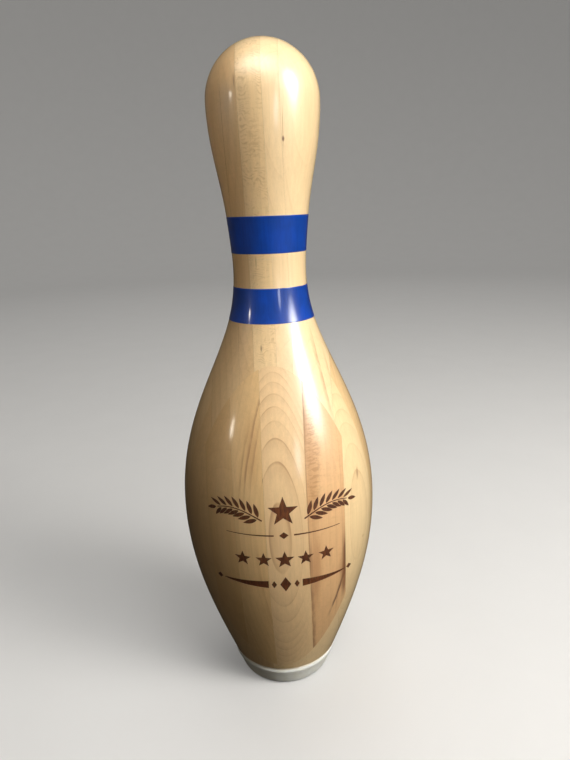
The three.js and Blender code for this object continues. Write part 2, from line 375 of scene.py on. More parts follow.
def finish_wood(ob):
    """Exact normals of the turned surface, flat ones on sawn and cut faces, and a
    second material slot on the engraving."""
    me = ob.data
    co = vertex_array(me)
    nl = len(me.loops)
    np_ = len(me.polygons)
    vi = np.zeros(nl, np.int32)
    me.loops.foreach_get("vertex_index", vi)
    start = np.zeros(np_, np.int32)
    total = np.zeros(np_, np.int32)
    me.polygons.foreach_get("loop_start", start)
    me.polygons.foreach_get("loop_total", total)
    fn = np.zeros(np_ * 3)
    me.polygons.foreach_get("normal", fn)
    fn = fn.reshape(-1, 3)
    fc = np.zeros(np_ * 3)
    me.polygons.foreach_get("center", fc)
    fc = fc.reshape(-1, 3)
    owner = np.repeat(np.arange(np_), total)
    an = wood_normal(fc)
    rho = np.hypot(fc[:, 0], fc[:, 1])
    z = fc[:, 2]
    # depth under the turned surface, along its normal
    depth = np.where(z > CROWN_Z,
                     PROFILE[-1][1] - np.sqrt(rho ** 2 + (z - CROWN_Z) ** 2),
                     (wood_radius(z) - rho) * np.hypot(an[:, 0], an[:, 1]))
    along = (fn * an).sum(1)
    above = z > RING_HEIGHT + 0.3
    outer = above & (np.abs(depth) < 0.05) & (along > 0.8)
    floor = above & (np.abs(depth - ENGRAVE) < 0.05) & (along > 0.8)
    # walls of the engraving are shallow faces that run along Y
    ln = wood_normal(co[vi])
    out = fn[owner].copy()
    smooth = (outer | floor)[owner]
    out[smooth] = ln[smooth]
    wall = above & ~outer & ~floor & (depth > -0.02) & (depth < ENGRAVE + 0.02) & (np.abs(fn[:, 1]) < 1e-3)
    if "front_block" not in ob.name and ob.name not in ("right_block_strip_1_visual", "left_block_strip_1_visual"):
        wall[:] = False
    mat = np.zeros(np_, np.int32)
    mat[floor | wall] = 1
    me.materials.clear()
    me.polygons.foreach_set("material_index", mat)
    me.transform(Matrix.Scale(MM, 4))
    me.polygons.foreach_set("use_smooth", np.ones(np_, bool))
    me.normals_split_custom_set([tuple(v) for v in out])
    me.update()


wood = build_wood()


# ---------------------------------------------------------------- ring, stripes
def arc(cx, cz, r, a0, a1, n):
    return [(cx + r * math.cos(a0 + (a1 - a0) * i / n), cz + r * math.sin(a0 + (a1 - a0) * i / n))
            for i in range(n + 1)]


def finish_plain(ob, angle=30.0):
    me = ob.data
    me.transform(Matrix.Scale(MM, 4))
    me.shade_smooth()
    me.set_sharp_from_angle(angle=math.radians(angle))
    me.update()


def build_ring():
    """Moulded foot: flat floor face, rounded floor edge, tapered wall and a soft bead
    where it meets the wood."""
    top = RING_HEIGHT - 0.1
    slope, norm = BASE_SLOPE, math.hypot(1, BASE_SLOPE)

    def wall(z):
        return PROFILE[0][1] + 0.6 + slope * (z - PROFILE[0][0])

    end = math.atan2(-slope, 1)
    corner = 3.97
    cr = wall(corner) - corner * norm
    pairs = [(20.15, 0.0)]
    pairs += arc(cr, corner, corner, -math.pi / 2, end, 18)
    # wall, hollowed very slightly under the bead
    for t in np.linspace(0.06, 0.94, 16):
        z = corner + (top - 4.4 - corner) * t
        pairs.append((wall(z) - 0.08 * math.sin(math.pi * t) ** 2, z))
    bead = 3.0
    bz = top - bead
    br = wall(bz) - bead * norm + 0.12
    pairs += arc(br, bz, bead, end, math.pi / 2 - 0.05, 16)
    pairs += [(19.85, top), (19.35, top - 0.5), (19.35, 0.8)]
    pairs += [(19.58, 0.23)]
    ob = lathe("base_ring_visual", pairs, closed=True)
    finish_plain(ob, 40)
    return ob


def build_stripe(name):
    lo, hi = (c.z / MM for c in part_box(name))
    film = 0.14
    n = 34
    zs = [lo + (hi - lo) * i / n for i in range(n + 1)]
    outer = []
    for z in zs:
        edge = min(z - lo, hi - z)
        t = film * (1 - math.exp(-edge / 0.10)) if edge < 1.0 else film
        outer.append((float(wood_radius(z)) + 0.012 + t, z))
    # rounded lips, a few close rows at both edges
    def lip(z0, sign):
        rows = []
        for d in (0.0, 0.05, 0.12, 0.22, 0.36):
            z = z0 + sign * d
            t = film * math.sqrt(max(0.0, 1 - (1 - min(d / 0.36, 1)) ** 2))
            rows.append((float(wood_radius(z)) + 0.012 + t, z))
        return rows
    outer = lip(lo, 1) + outer[1:-1] + lip(hi, -1)[::-1]
    inner = [(float(wood_radius(z)) + 0.006, z) for z in zs[::-1]]
    inner[0] = (float(wood_radius(hi)) + 0.004, hi)
    inner[-1] = (float(wood_radius(lo)) + 0.004, lo)
    ob = lathe(name + "_visual", outer + inner, closed=True)
    finish_plain(ob, 60)
    return ob


ring = build_ring()
stripes = {n: build_stripe(n) for n in ("neck_stripe_upper", "neck_stripe_lower")}


# ---------------------------------------------------------------- node helper
class Nodes:
    """Short hand for building node trees. A value may be a number, a tuple or a socket."""

    def __init__(self, tree):
        self.tree = tree

    def new(self, kind, **props):
        n = self.tree.nodes.new(kind)
        for k, v in props.items():
            setattr(n, k, v)
        return n

    def put(self, socket, value):
        if isinstance(value, bpy.types.NodeSocket):
            self.tree.links.new(value, socket)
        elif value is not None:
            if socket.type == "RGBA" and len(value) == 3:
                value = (*value, 1.0)
            socket.default_value = value

    def math(self, op, a, b=None, c=None, clamp=False):
        n = self.new("ShaderNodeMath", operation=op, use_clamp=clamp)
        for s, v in zip(n.inputs, (a, b, c)):
            self.put(s, v)
        return n.outputs[0]

    def vec(self, op, a, b=None, scale=None):
        n = self.new("ShaderNodeVectorMath", operation=op)
        self.put(n.inputs[0], a)
        self.put(n.inputs[1], b)
        if scale is not None:
            self.put(n.inputs["Scale"], scale)
        return n.outputs["Value"] if op in ("DOT_PRODUCT", "LENGTH", "DISTANCE") else n.outputs["Vector"]

    def combine(self, x, y, z):
        n = self.new("ShaderNodeCombineXYZ")
        for s, v in zip(n.inputs, (x, y, z)):
            self.put(s, v)
        return n.outputs[0]

    def noise(self, vector, scale=1.0, detail=2.0, rough=0.5, distort=0.0):
        n = self.new("ShaderNodeTexNoise", noise_dimensions="3D")
        self.put(n.inputs["Vector"], vector)
        self.put(n.inputs["Scale"], scale)
        self.put(n.inputs["Detail"], detail)
        self.put(n.inputs["Roughness"], rough)
        self.put(n.inputs["Distortion"], distort)
        return n.outputs["Fac"]

    def noise1(self, w, detail=1.0):
        n = self.new("ShaderNodeTexNoise", noise_dimensions="1D")
        self.put(n.inputs["W"], w)
        self.put(n.inputs["Scale"], 1.0)
        self.put(n.inputs["Detail"], detail)
        return n.outputs["Fac"]

    def white1(self, w):
        n = self.new("ShaderNodeTexWhiteNoise", noise_dimensions="1D")
        self.put(n.inputs["W"], w)
        return n.outputs["Value"]

    def step(self, value, lo, hi, to_lo=0.0, to_hi=1.0):
        n = self.new("ShaderNodeMapRange", interpolation_type="SMOOTHSTEP")
        for s, v in zip(n.inputs, (value, lo, hi, to_lo, to_hi)):
            self.put(s, v)
        return n.outputs[0]

    def mix(self, fac, a, b, blend="MIX"):
        n = self.new("ShaderNodeMix", data_type="RGBA", blend_type=blend)
        self.put(n.inputs[0], fac)
        self.put(n.inputs[6], a)
        self.put(n.inputs[7], b)
        return n.outputs[2]

    def bump(self, height, distance, strength=1.0, normal=None):
        n = self.new("ShaderNodeBump")
        self.put(n.inputs["Strength"], strength)
        self.put(n.inputs["Distance"], distance)
        self.put(n.inputs["Height"], height)
        self.put(n.inputs["Normal"], normal)
        return n.outputs[0]


def srgb(r, g, b):
    def f(c):
        c /= 255.0
        return c / 12.92 if c <= 0.04045 else ((c + 0.055) / 1.055) ** 2.4
    return (f(r), f(g), f(b))


# ---------------------------------------------------------------- maple
def group_maple():
    """Solid maple: growth rings, fibre, pores, ray fleck and curl, all in three
    dimensions, so every turned or sawn face shows the figure it should.
    Coordinates inside are millimetres in the billet."""
    tree = bpy.data.node_groups.new("maple", "ShaderNodeTree")
    face = tree.interface

    def sock(name, kind, value=None, out=False):
        s = face.new_socket(name, in_out="OUTPUT" if out else "INPUT", socket_type=kind)
        if value is not None:
            s.default_value = value

    F, V, C = "NodeSocketFloat", "NodeSocketVector", "NodeSocketColor"
    sock("Point", V)
    sock("RingDir", V, (0, -1, 0))
    sock("SideDir", V, (1, 0, 0))
    sock("Side0", F, 0.0)
    sock("Bend", F, 0.02)
    sock("Spacing", F, 3.0)
    sock("Phase", F, 0.0)
    sock("Origin", F, 0.0)
    sock("Growth", F, 0.0)
    sock("Years", F, 1.5)
    sock("Flank", F, 400.0)
    sock("RingDepth", F, 0.5)
    sock("Warp", F, 2.0)
    sock("Base", C, (0.7, 0.5, 0.3, 1))
    sock("Late", C, (0.5, 0.3, 0.15, 1))
    sock("Fleck", F, 0.5)
    sock("Curl", F, 0.2)
    sock("Mottle", F, 0.5)
    sock("Seed", F, 0.0)
    sock("Figure", F, 0.0)
    sock("FadeLo", F, -400.0)
    sock("FadeHi", F, -390.0)
    sock("Color", C, out=True)
    sock("Height", F, out=True)
    g = Nodes(tree)
    gi = g.new("NodeGroupInput").outputs
    go = g.new("NodeGroupOutput").inputs
    P = gi["Point"]
    off = g.combine(g.math("MULTIPLY", gi["Seed"], 17.3), g.math("MULTIPLY", gi["Seed"], -9.1),
                    g.math("MULTIPLY", gi["Seed"], 31.7))
    t = g.vec("DOT_PRODUCT", P, gi["RingDir"])
    w = g.vec("DOT_PRODUCT", P, gi["SideDir"])
    sep = g.new("ShaderNodeSeparateXYZ")
    g.put(sep.inputs[0], P)
    z = sep.outputs[2]
    L = g.combine(t, w, z)

    def scaled(x, y, q):
        return g.vec("ADD", g.vec("MULTIPLY", L, (1 / x, 1 / y, 1 / q)), off)

    slow = g.noise(scaled(42, 42, 170), detail=1.0)
    mid = g.noise(scaled(13, 13, 75), detail=2.0)
    fine = g.noise(scaled(3.2, 3.2, 34), detail=2.0)
    W = g.math("SUBTRACT", w, gi["Side0"])
    s = g.math("SUBTRACT", t, g.math("MULTIPLY", gi["Bend"], g.math("MULTIPLY", W, W)))
    wob = g.math("ADD", g.math("MULTIPLY", g.math("SUBTRACT", slow, 0.5), 3.4),
                 g.math("ADD", g.math("MULTIPLY", g.math("SUBTRACT", mid, 0.5), 0.9),
                        g.math("MULTIPLY", g.math("SUBTRACT", fine, 0.5), 0.28)))
    s = g.math("ADD", s, g.math("MULTIPLY", wob, gi["Warp"]))
    q = g.math("ADD", s, gi["Origin"])
    ph = g.math("ADD", g.math("DIVIDE", q, gi["Spacing"]), gi["Phase"])
    ph = g.math("ADD", ph, g.math("MULTIPLY", g.math("MULTIPLY", q, q), gi["Growth"]))
    # years of different growth
    ph = g.math("ADD", ph, g.math("MULTIPLY", g.math("SUBTRACT", g.noise1(g.math("MULTIPLY", ph, 0.41)), 0.5), gi["Years"]))
    year = g.math("FLOOR", ph)
    f = g.math("FRACT", ph)
    amp = g.math("ADD", 0.42, g.math("MULTIPLY", g.white1(g.math("ADD", year, gi["Seed"])), 0.58))
    soft = g.math("MULTIPLY", g.step(f, 0.25, 0.93), g.step(f, 0.965, 1.0, 1.0, 0.0))
    line = g.math("MULTIPLY", g.step(f, 0.84, 0.955), g.step(f, 0.962, 1.0, 1.0, 0.0))
    band = g.math("ADD", g.math("MULTIPLY", soft, 0.42), g.math("MULTIPLY", line, 0.58))
    # a ring fades in and out along the board
    fade = g.step(g.noise(scaled(24, 11, 60), detail=2.0), 0.28, 0.62, 0.35, 1.0)
    fade = g.math("MULTIPLY", fade, g.step(z, gi["FadeLo"], gi["FadeHi"], 0.50, 1.0))
    aside = g.math("DIVIDE", g.math("ABSOLUTE", W), gi["Flank"])
    fade = g.math("MULTIPLY", fade, g.step(aside, 0.35, 1.0, 1.0, 0.42))
    ring = g.math("MULTIPLY", g.math("MULTIPLY", band, amp), g.math("MULTIPLY", fade, gi["RingDepth"]))
    col = g.mix(ring, gi["Base"], gi["Late"])

    # slow change of tone over the board
    tone = g.noise(scaled(30, 26, 150), detail=3.0, rough=0.55)
    tone = g.math("MULTIPLY", g.math("SUBTRACT", tone, 0.5), gi["Mottle"])
    col = g.mix(g.math("ABSOLUTE", g.math("MULTIPLY", tone, 0.9)),
                col, g.mix(g.step(tone, -0.02, 0.02), g.mix(0.6, gi["Late"], (0.50, 0.34, 0.20)), (0.93, 0.80, 0.58)))
    # fibre
    fib = g.noise(scaled(0.42, 0.42, 26), detail=3.0, rough=0.6)
    fib2 = g.noise(scaled(1.7, 1.7, 85), detail=2.0)
    gain = g.math("ADD", 1.0, g.math("ADD", g.math("MULTIPLY", g.math("SUBTRACT", fib, 0.5), 0.20),
                                     g.math("MULTIPLY", g.math("SUBTRACT", fib2, 0.5), 0.20)))
    # rays: thin ribbons standing along the ring direction
    ray = g.noise(scaled(3.4, 0.26, 1.15), detail=1.5, rough=0.55)
    rays = g.math("MULTIPLY", g.step(ray, 0.58, 0.70), gi["Fleck"])
    ray2 = g.noise(g.vec("ADD", scaled(7.0, 0.9, 0.62), (4.0, 9.0, 2.0)), detail=2.0, rough=0.6, distort=0.6)
    rays2 = g.math("MULTIPLY", g.step(ray2, 0.53, 0.72), g.math("MULTIPLY", gi["Fleck"], 0.6))
    # wavy figure: thin nested lines running across the board, in patches
    bulge = g.noise(g.vec("ADD", scaled(6.5, 4.6, 8.5), (7.0, 1.0, 3.0)), detail=1.0, rough=0.4)
    rough_z = g.noise(g.vec("ADD", scaled(1.7, 1.2, 2.2), (2.0, 6.0, 5.0)), detail=2.0)
    row = g.math("ADD", g.math("DIVIDE", z, 2.0),
                 g.math("ADD", g.math("MULTIPLY", bulge, 7.0), g.math("MULTIPLY", rough_z, 0.7)))
    fl = g.math("FRACT", row)
    nest = g.math("MULTIPLY", g.step(fl, 0.35, 0.72), g.step(fl, 0.76, 1.0, 1.0, 0.0))
    where = g.step(g.noise(g.vec("ADD", scaled(5, 4.2, 15), (3.0, 5.0, 8.0)), detail=1.5), 0.44, 0.64)
    broken = g.step(g.noise(scaled(2.6, 2.2, 1.2), detail=2.0), 0.34, 0.58, 0.10, 1.0)
    nest = g.math("MULTIPLY", g.math("MULTIPLY", nest, where), g.math("MULTIPLY", broken, gi["Figure"]))
    # pores
    pore = g.noise(scaled(0.17, 0.17, 1.9), detail=1.0)
    pores = g.step(pore, 0.66, 0.80)
    # curl: light and dark bands across the grain
    curl = g.noise(scaled(9, 9, 2.3), detail=2.0, rough=0.5, distort=0.8)
    patch = g.step(g.noise(scaled(14, 14, 60), detail=1.0), 0.42, 0.62)
    gain = g.math("ADD", gain, g.math("MULTIPLY", g.math("MULTIPLY", g.math("SUBTRACT", curl, 0.5), patch), gi["Curl"]))
    gain = g.math("SUBTRACT", gain, g.math("MULTIPLY", pores, 0.10))
    col = g.mix(g.math("ADD", g.math("MULTIPLY", rays, 0.34), g.math("MULTIPLY", rays2, 0.26), clamp=True),
                col, g.mix(0.35, gi["Late"], gi["Base"]))
    col = g.mix(g.math("MULTIPLY", nest, 0.38, clamp=True), col, gi["Late"])
    col = g.vec("MULTIPLY", g.vec("SCALE", col, scale=gain), TINT)
    g.put(go["Color"], col)
    height = g.math("SUBTRACT", g.math("MULTIPLY", fib, 0.35),
                    g.math("ADD", g.math("MULTIPLY", line, 0.35), g.math("MULTIPLY", pores, 0.6)))
    g.put(go["Height"], height)
    return tree


TINT = (1.0, 0.93, 0.82)          # amber cast of the old lacquer
PALE = srgb(226, 200, 158)
LATE = srgb(168, 124, 80)

MAPLE = group_maple()


def lacquer(g, color, rough, normal_height, point_mm, coat=1.0, coat_rough=0.13, depth=2.5e-6, peel=1.6e-6, specular=0.5):
    """Principled surface under a clear gloss coat with a faint orange peel."""
    bsdf = g.new("ShaderNodeBsdfPrincipled")
    out = g.new("ShaderNodeOutputMaterial")
    g.put(bsdf.inputs["Base Color"], color)
    g.put(bsdf.inputs["Roughness"], rough)
    g.put(bsdf.inputs["Specular IOR Level"], specular)
    g.put(bsdf.inputs["Coat Weight"], coat)
    g.put(bsdf.inputs["Coat Roughness"], coat_rough)
    g.put(bsdf.inputs["Coat IOR"], 1.5)
    if normal_height is not None:
        g.put(bsdf.inputs["Normal"], g.bump(normal_height, depth))
    wave = g.noise(g.vec("SCALE", point_mm, scale=1 / 5.5), detail=1.5, rough=0.45)
    small = g.noise(g.vec("SCALE", point_mm, scale=1 / 1.3), detail=1.0)
    peel_h = g.math("ADD", wave, g.math("MULTIPLY", small, 0.16))
    g.put(bsdf.inputs["Coat Normal"], g.bump(peel_h, peel * 10, 1.0))
    g.tree.links.new(bsdf.outputs[0], out.inputs[0])
    return bsdf


def start_material(name):
    mat = bpy.data.materials.new(name)
    mat.use_nodes = True
    mat.node_tree.nodes.clear()
    g = Nodes(mat.node_tree)
    raw = g.vec("SCALE", g.new("ShaderNodeTexCoord").outputs["Object"], scale=1000.0)
    return mat, g, raw


def billet_space(g, raw):
    m = g.new("ShaderNodeMapping", vector_type="TEXTURE")
    g.put(m.inputs["Vector"], raw)
    m.inputs["Location"].default_value = (0, 0, PIVOT_Z)
    m.inputs["Rotation"].default_value = tuple(BILLET)
    return m.outputs[0]


def spot(g, point, centre, radii, soft=0.55, wobble=0.0):
    d = g.vec("MULTIPLY", g.vec("SUBTRACT", point, centre), tuple(1 / r for r in radii))
    length = g.vec("LENGTH", d)
    if wobble:
        n = g.noise(g.vec("MULTIPLY", point, tuple(1.6 / r for r in radii)), detail=2.0)
        length = g.math("ADD", length, g.math("MULTIPLY", g.math("SUBTRACT", n, 0.5), wobble))
    return g.step(length, soft, 1.0, 1.0, 0.0)


def streak(g, point, direction, at, width, z0, z1, fade, wobble):
    """A growth line: it deepens slowly over width along direction and ends abruptly at
    the coordinate `at`. z0 to z1 is its reach up the pin."""
    d = g.math("SUBTRACT", g.vec("DOT_PRODUCT", point, direction), at)
    n = g.noise(g.vec("MULTIPLY", point, (1 / 9.0, 1 / 9.0, 1 / 34.0)), detail=3.0)
    d = g.math("ADD", d, g.math("MULTIPLY", g.math("SUBTRACT", n, 0.5), wobble))
    m = g.math("MULTIPLY", g.step(d, -width, -0.12 * width), g.step(d, -0.05, 0.30, 1.0, 0.0))
    sep = g.new("ShaderNodeSeparateXYZ")
    g.put(sep.inputs[0], point)
    z = sep.outputs[2]
    m = g.math("MULTIPLY", m, g.step(z, z0 - fade, z0 + fade))
    m = g.math("MULTIPLY", m, g.step(z, z1 - fade, z1 + fade, 1.0, 0.0))
    n2 = g.noise(g.vec("MULTIPLY", point, (1 / 2.0, 1 / 2.0, 1 / 22.0)), detail=2.0)
    return g.math("MULTIPLY", m, g.step(n2, 0.25, 0.6, 0.35, 1.0))


def maple_material(name, seed, phi=-90.0, tilt=0.0, side0=0.0, bend=0.012, spacing=3.0, phase=0.0,
                   depth=0.5, warp=1.0, base=PALE, late=LATE, fleck=0.35, curl=0.10, mottle=0.5, figure=0.0,
                   stains=(), streaks=(), hatch=(), fade=None, origin=0.0, growth=0.0, years=1.5,
                   flank=400.0):
    """phi is the direction, in degrees in the billet's u-v plane, that the growth
    rings face. stains are (centre, radii, colour, strength, softness, wobble) in
    pin coordinates; streaks are (direction, at, width, z0, z1, colour, strength);
    hatch is like stains, but broken up into short ray flecks."""
    mat, g, raw = start_material(name)
    pb = billet_space(g, raw)
    a = math.radians(phi)
    n = g.new("ShaderNodeGroup", node_tree=MAPLE)
    ins = n.inputs
    g.put(ins["Point"], pb)
    ins["RingDir"].default_value = (math.cos(a), math.sin(a), tilt)
    ins["SideDir"].default_value = (-math.sin(a), math.cos(a), 0)
    for k, v in (("Side0", side0), ("Bend", bend), ("Spacing", spacing), ("Phase", phase),
                 ("RingDepth", depth), ("Warp", warp), ("Fleck", fleck), ("Curl", curl),
                 ("Mottle", mottle), ("Figure", figure), ("Seed", seed),
                 ("Origin", origin), ("Growth", growth), ("Years", years), ("Flank", flank)):
        ins[k].default_value = v
    g.put(ins["Base"], base)
    g.put(ins["Late"], late)
    col = n.outputs["Color"]
    if fade:
        ins["FadeLo"].default_value, ins["FadeHi"].default_value = fade[0] - PIVOT_Z, fade[1] - PIVOT_Z
    for direction, at, width, z0, z1, colour, strength in streaks:
        m = streak(g, raw, direction, at, width, z0, z1, 9.0, 1.3)
        col = g.mix(g.math("MULTIPLY", m, strength), col, colour)
    for centre, radii, colour, strength, soft, wob in hatch:
        m = spot(g, raw, centre, radii, soft, wob)
        n1 = g.noise(g.vec("MULTIPLY", raw, (1 / 3.4, 1 / 6.0, 1 / 1.25)), detail=3.0, rough=0.6, distort=0.5)
        m = g.math("MULTIPLY", m, g.step(n1, 0.46, 0.60, 0.10, 1.0))
        col = g.mix(g.math("MULTIPLY", m, strength), col, colour)
    for centre, radii, colour, strength, soft, wob in stains:
        m = spot(g, raw, centre, radii, soft, wob)
        col = g.mix(g.math("MULTIPLY", m, strength), col, colour)
    rough = g.math("ADD", 0.42, g.math("MULTIPLY", n.outputs["Height"], 0.10))
    lacquer(g, col, rough, n.outputs["Height"], raw, specular=0.75)
    return mat


def burnt_material():
    """Floor and walls of the burnt engraving: charred brown, uneven, matt under lacquer."""
    mat, g, raw = start_material("burnt_maple")
    n1 = g.noise(g.vec("MULTIPLY", raw, (1 / 0.9, 1 / 0.9, 1 / 5.0)), detail=3.0, rough=0.6)
    n2 = g.noise(g.vec("SCALE", raw, scale=1 / 9.0), detail=2.0)
    col = g.mix(g.step(n1, 0.3, 0.7), srgb(74, 36, 15), srgb(112, 62, 28))
    col = g.mix(g.math("MULTIPLY", g.step(n2, 0.4, 0.7), 0.35), col, srgb(46, 22, 14))
    # raster lines of the burning head
    lines = g.math("SINE", g.math("MULTIPLY", g.vec("DOT_PRODUCT", raw, (0, 0, 1)), 2 * math.pi / 0.25))
    height = g.math("ADD", n1, g.math("MULTIPLY", lines, 0.25))
    lacquer(g, col, 0.6, height, raw, coat=0.22, coat_rough=0.2, depth=2.0e-5)
    return mat


DARK = srgb(92, 58, 34)
BROWN = srgb(150, 100, 58)

burnt = burnt_material()

SEAM = (-1.0, 0.0442, -0.01527)      # across the seam between front strips 3 and 4

SPECS = {
    # core: boards seen on the head, the neck and the foot
    "core_strip_1": dict(seed=1.3, phi=-8, bend=0.004, spacing=3.4, depth=0.26, base=srgb(217, 187, 142),
                         fleck=0.5, curl=0.16, mottle=0.6),
    "core_strip_2": dict(seed=2.1, phi=6, bend=0.006, spacing=2.9, depth=0.30, base=srgb(215, 184, 139),
                         fleck=0.5, curl=0.12, figure=0.3,
                         stains=[((-13.4, -25.4, 356.0), (0.7, 3.0, 4.6), DARK, 0.6, 0.1, 0.6),
                                 ((-13.0, -25.4, 354.0), (1.7, 3.0, 10.0), BROWN, 0.40, 0.1, 0.6)]),
    "core_strip_3": dict(seed=3.7, phi=3, bend=0.003, spacing=3.6, depth=0.12, base=srgb(228, 203, 160),
                         late=srgb(150, 108, 70), fleck=0.6, curl=0.26, mottle=0.35, figure=0.85,
                         hatch=[((-5.5, -28, 331.0), (5.4, 12, 15.0), BROWN, 0.22, 0.3, 0.5)],
                         stains=[((-6.4, -28.9, 224.5), (0.55, 3.0, 2.6), DARK, 0.7, 0.2, 0.5),
                                 ((-7.2, -20.0, 269.5), (0.30, 3.0, 4.0), DARK, 0.6, 0.3, 0.3)]),
    "core_strip_4": dict(seed=4.4, phi=-62, bend=0.010, spacing=4.2, depth=0.17, base=srgb(233, 209, 168),
                         fleck=0.3, curl=0.08),
    "core_strip_5": dict(seed=5.9, phi=-38, side0=6, bend=0.006, spacing=5.0, depth=0.13, base=srgb(235, 212, 172),
                         fleck=0.22, curl=0.05, mottle=0.3,
                         streaks=[((1, 0.15, 0.155), 55.3, 2.6, 190, 228, BROWN, 0.50),
                                  ((1, 0.15, 0.155), 60.6, 1.6, 200, 216, BROWN, 0.40)],
                         stains=[((9.35, -28.4, 329.7), (0.9, 4.0, 1.9), DARK, 0.97, 0.35, 0.3),
                                 ((9.3, -28.4, 333.0), (0.26, 4.0, 17.0), BROWN, 0.75, 0.15, 0.5)]),
    # front block
    "front_block_strip_1": dict(seed=6.2, phi=-120, bend=0.004, spacing=3.4, depth=0.16, base=srgb(212, 177, 127),
                                fleck=0.3, curl=0.10),
    "front_block_strip_2": dict(seed=7.8, phi=-37, side0=0, bend=0.0, spacing=2.9, phase=0.2, depth=0.26,
                                warp=0.7, base=srgb(221, 189, 140), late=srgb(160, 112, 68), fleck=0.3, curl=0.08,
                                streaks=[((0.8, -0.6, 0), 17.4, 1.5, 152, 204, srgb(146, 94, 52), 0.62),
                                         ((0.8, -0.6, 0), 20.2, 1.4, 158, 186, srgb(152, 100, 56), 0.38),
                                         ((0.8, -0.6, 0), 14.8, 1.5, 150, 184, srgb(158, 106, 62), 0.42),
                                         ((0.8, -0.6, 0), 24.8, 2.6, 60, 120, srgb(168, 118, 74), 0.28)],
                                stains=[((-14.0, -48.0, 172.0), (5.0, 16.0, 30.0), srgb(184, 138, 92), 0.30, 0.1, 0.6),
                                        ((-8.3, -58.0, 158.5), (0.8, 8.0, 2.8), srgb(122, 78, 44), 0.65, 0.25, 0.5)]),
    "front_block_strip_3": dict(seed=8.5, phi=91, side0=-1.2, bend=-0.028, spacing=2.264, origin=35.9, growth=0.00549,
                                years=0.25, depth=0.74, warp=0.50, flank=12.0, base=srgb(229, 201, 159), late=srgb(164, 118, 82),
                                fleck=0.2, curl=0.08, mottle=0.4, figure=0.12, fade=(84, 150),
                                stains=[((12.0, -38.0, 203.0), (5.0, 14.0, 16.0), (0.76, 0.53, 0.28), 0.7, 0.25, 0.5)]),
    "front_block_strip_4": dict(seed=9.1, phi=-150, bend=0.004, spacing=4.4, depth=0.28, base=srgb(222, 184, 140),
                                late=srgb(158, 108, 70), fleck=0.45, curl=0.16, mottle=0.6,
                                streaks=[(SEAM, -19.42, 0.8, 178, 212, srgb(78, 54, 36), 0.85),
                                         (SEAM, -19.45, 0.7, 116, 178, srgb(104, 70, 44), 0.50),
                                         (SEAM, -19.55, 2.6, 24, 118, srgb(116, 74, 44), 0.60),
                                         ((1, 0, 0), 36.7, 3.0, 78, 120, srgb(104, 60, 34), 0.90),
                                         ((1, 0, -0.31), 8.1, 2.0, 66, 94, srgb(76, 44, 26), 0.92),
                                         ((1, 0.02, -0.05), 27.5, 1.0, 66, 84, srgb(120, 72, 42), 0.45)],
                                hatch=[((18.4, -46, 164.0), (6.2, 30.0, 46.0), srgb(132, 88, 46), 0.46, 0.25, 0.5)],
                                stains=[((15.2, -40, 190.0), (1.9, 30.0, 30.0), srgb(176, 128, 76), 0.62, 0.2, 0.4),
                                        ((17.6, -44, 154.0), (6.0, 30.0, 46.0), srgb(184, 134, 80), 0.50, 0.3, 0.4),
                                        ((19.0, -52, 104.0), (4.6, 30.0, 44.0), srgb(164, 110, 68), 0.50, 0.1, 0.6),
                                        ((35.6, -42, 94.0), (4.4, 12.0, 24.0), srgb(130, 82, 50), 0.60, 0.1, 0.6)]),
    # back block
    "back_block_strip_1": dict(seed=10.6, phi=96, side0=27, bend=0.012, spacing=3.3, depth=0.45, base=srgb(226, 198, 152)),
    "back_block_strip_2": dict(seed=11.4, phi=170, bend=0.004, spacing=3.0, depth=0.35, base=srgb(214, 180, 133),
                               fleck=0.7, curl=0.2, figure=0.4),
    "back_block_strip_3": dict(seed=12.9, phi=84, side0=-12, bend=0.020, spacing=3.6, depth=0.55, base=srgb(229, 204, 161)),
    "back_block_strip_4": dict(seed=13.5, phi=40, bend=0.006, spacing=4.0, depth=0.4, base=srgb(217, 180, 134),
                               late=srgb(146, 98, 60),
                               stains=[((30.0, 44, 150.0), (5.0, 16.0, 46.0), srgb(164, 112, 70), 0.40, 0.1, 0.6)]),
    # left block
    "left_block_strip_1": dict(seed=14.2, phi=-140, side0=20, bend=0.004, spacing=3.8, depth=0.14, base=srgb(217, 184, 137),
                               curl=0.14, mottle=0.6),
    "left_block_strip_2": dict(seed=15.7, phi=182, side0=14, bend=0.016, spacing=3.2, depth=0.34, base=srgb(223, 193, 147)),
    "left_block_strip_3": dict(seed=16.3, phi=-100, bend=0.004, spacing=3.1, depth=0.3, base=srgb(215, 183, 137), fleck=0.7,
                               curl=0.2),
    "left_block_strip_4": dict(seed=17.8, phi=150, side0=-26, bend=0.012, spacing=3.8, depth=0.45, base=srgb(229, 203, 160)),
    # right block
    "right_block_strip_1": dict(seed=18.6, phi=144, side0=-0.5, bend=-0.016, spacing=3.1, phase=0.1, depth=0.48, warp=0.8,
                                base=srgb(235, 212, 170), late=srgb(176, 134, 92), fleck=0.2, fade=(90, 140),
                                stains=[((45.0, -35.5, 151.0), (0.9, 6.0, 4.6), BROWN, 0.7, 0.2, 0.5),
                                        ((48.6, -30.0, 109.0), (1.2, 6.0, 1.6), srgb(170, 110, 70), 0.6, 0.2, 0.5)]),
    "right_block_strip_2": dict(seed=19.2, phi=2, side0=-7, bend=0.018, spacing=3.4, depth=0.45, base=srgb(225, 197, 152)),
    "right_block_strip_3": dict(seed=20.4, phi=80, bend=0.004, spacing=3.2, depth=0.35, base=srgb(231, 206, 163), fleck=0.6),
    "right_block_strip_4": dict(seed=21.9, phi=38, side0=4, bend=0.012, spacing=3.5, depth=0.5, base=srgb(218, 186, 140)),
}

for name, ob in wood.items():
    ob.data.materials.append(maple_material("maple_" + name, **SPECS[name]))
    ob.data.materials.append(burnt)


